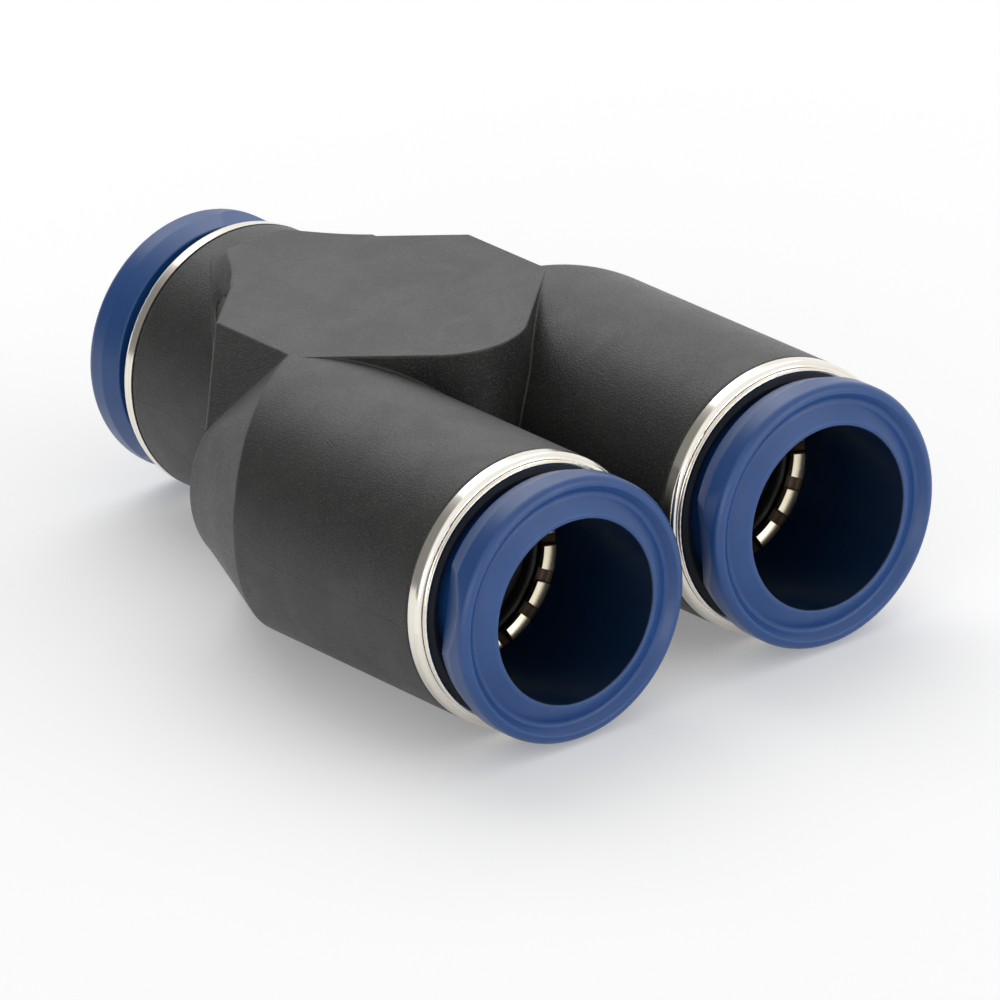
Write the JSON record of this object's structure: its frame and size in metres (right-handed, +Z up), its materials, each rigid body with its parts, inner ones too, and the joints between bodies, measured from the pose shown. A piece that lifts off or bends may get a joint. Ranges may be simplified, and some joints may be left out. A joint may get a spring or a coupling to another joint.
{
  "type": "push-in y union",
  "caption": "Y-shaped push-in union that joins one plastic tube to two side by side, with a sprung toothed claw and a release sleeve in each port.",
  "frame": {"origin": "middle of the underside, on the surface that the union rests on", "axes": "+Z up, square to the plane of the three ports; +Y along the ports, towards the single port; +X towards the right one of the two branch ports"},
  "size_m": [0.0406, 0.0578, 0.0193],
  "materials": {
    "body_plastic": "fine-grained matte moulding",
    "blue_sleeve": "satin moulding",
    "plated_ring": "bright nickel plate on brass",
    "dark_collar": "smooth moulding",
    "spring_steel": "stamped spring steel",
    "support_metal": "turned",
    "seal_rubber": "smooth"
  },
  "bodies": {
    "union": {"y_body": "body_plastic", "end_ring_left": "plated_ring", "end_ring_right": "plated_ring", "end_ring_stem": "plated_ring", "guide_collar_left": "dark_collar", "guide_collar_right": "dark_collar", "guide_collar_stem": "dark_collar", "lock_claw_left": "spring_steel", "lock_claw_right": "spring_steel", "lock_claw_stem": "spring_steel", "support_ring_left": "support_metal", "support_ring_right": "support_metal", "support_ring_stem": "support_metal", "tube_seal_left": "seal_rubber", "tube_seal_right": "seal_rubber", "tube_seal_stem": "seal_rubber"},
    "left_sleeve": {"release_sleeve_left": "blue_sleeve"},
    "right_sleeve": {"release_sleeve_right": "blue_sleeve"},
    "stem_sleeve": {"release_sleeve_stem": "blue_sleeve"}
  },
  "joints": [
    {"name": "left_sleeve_press", "type": "slide", "parent": "union", "child": "left_sleeve", "axis": [0, 1, 0], "range_m": [0, 0.00075]},
    {"name": "right_sleeve_press", "type": "slide", "parent": "union", "child": "right_sleeve", "axis": [0, 1, 0], "range_m": [0, 0.00075]},
    {"name": "stem_sleeve_press", "type": "slide", "parent": "union", "child": "stem_sleeve", "axis": [0, -1, 0], "range_m": [0, 0.00075]}
  ]
}
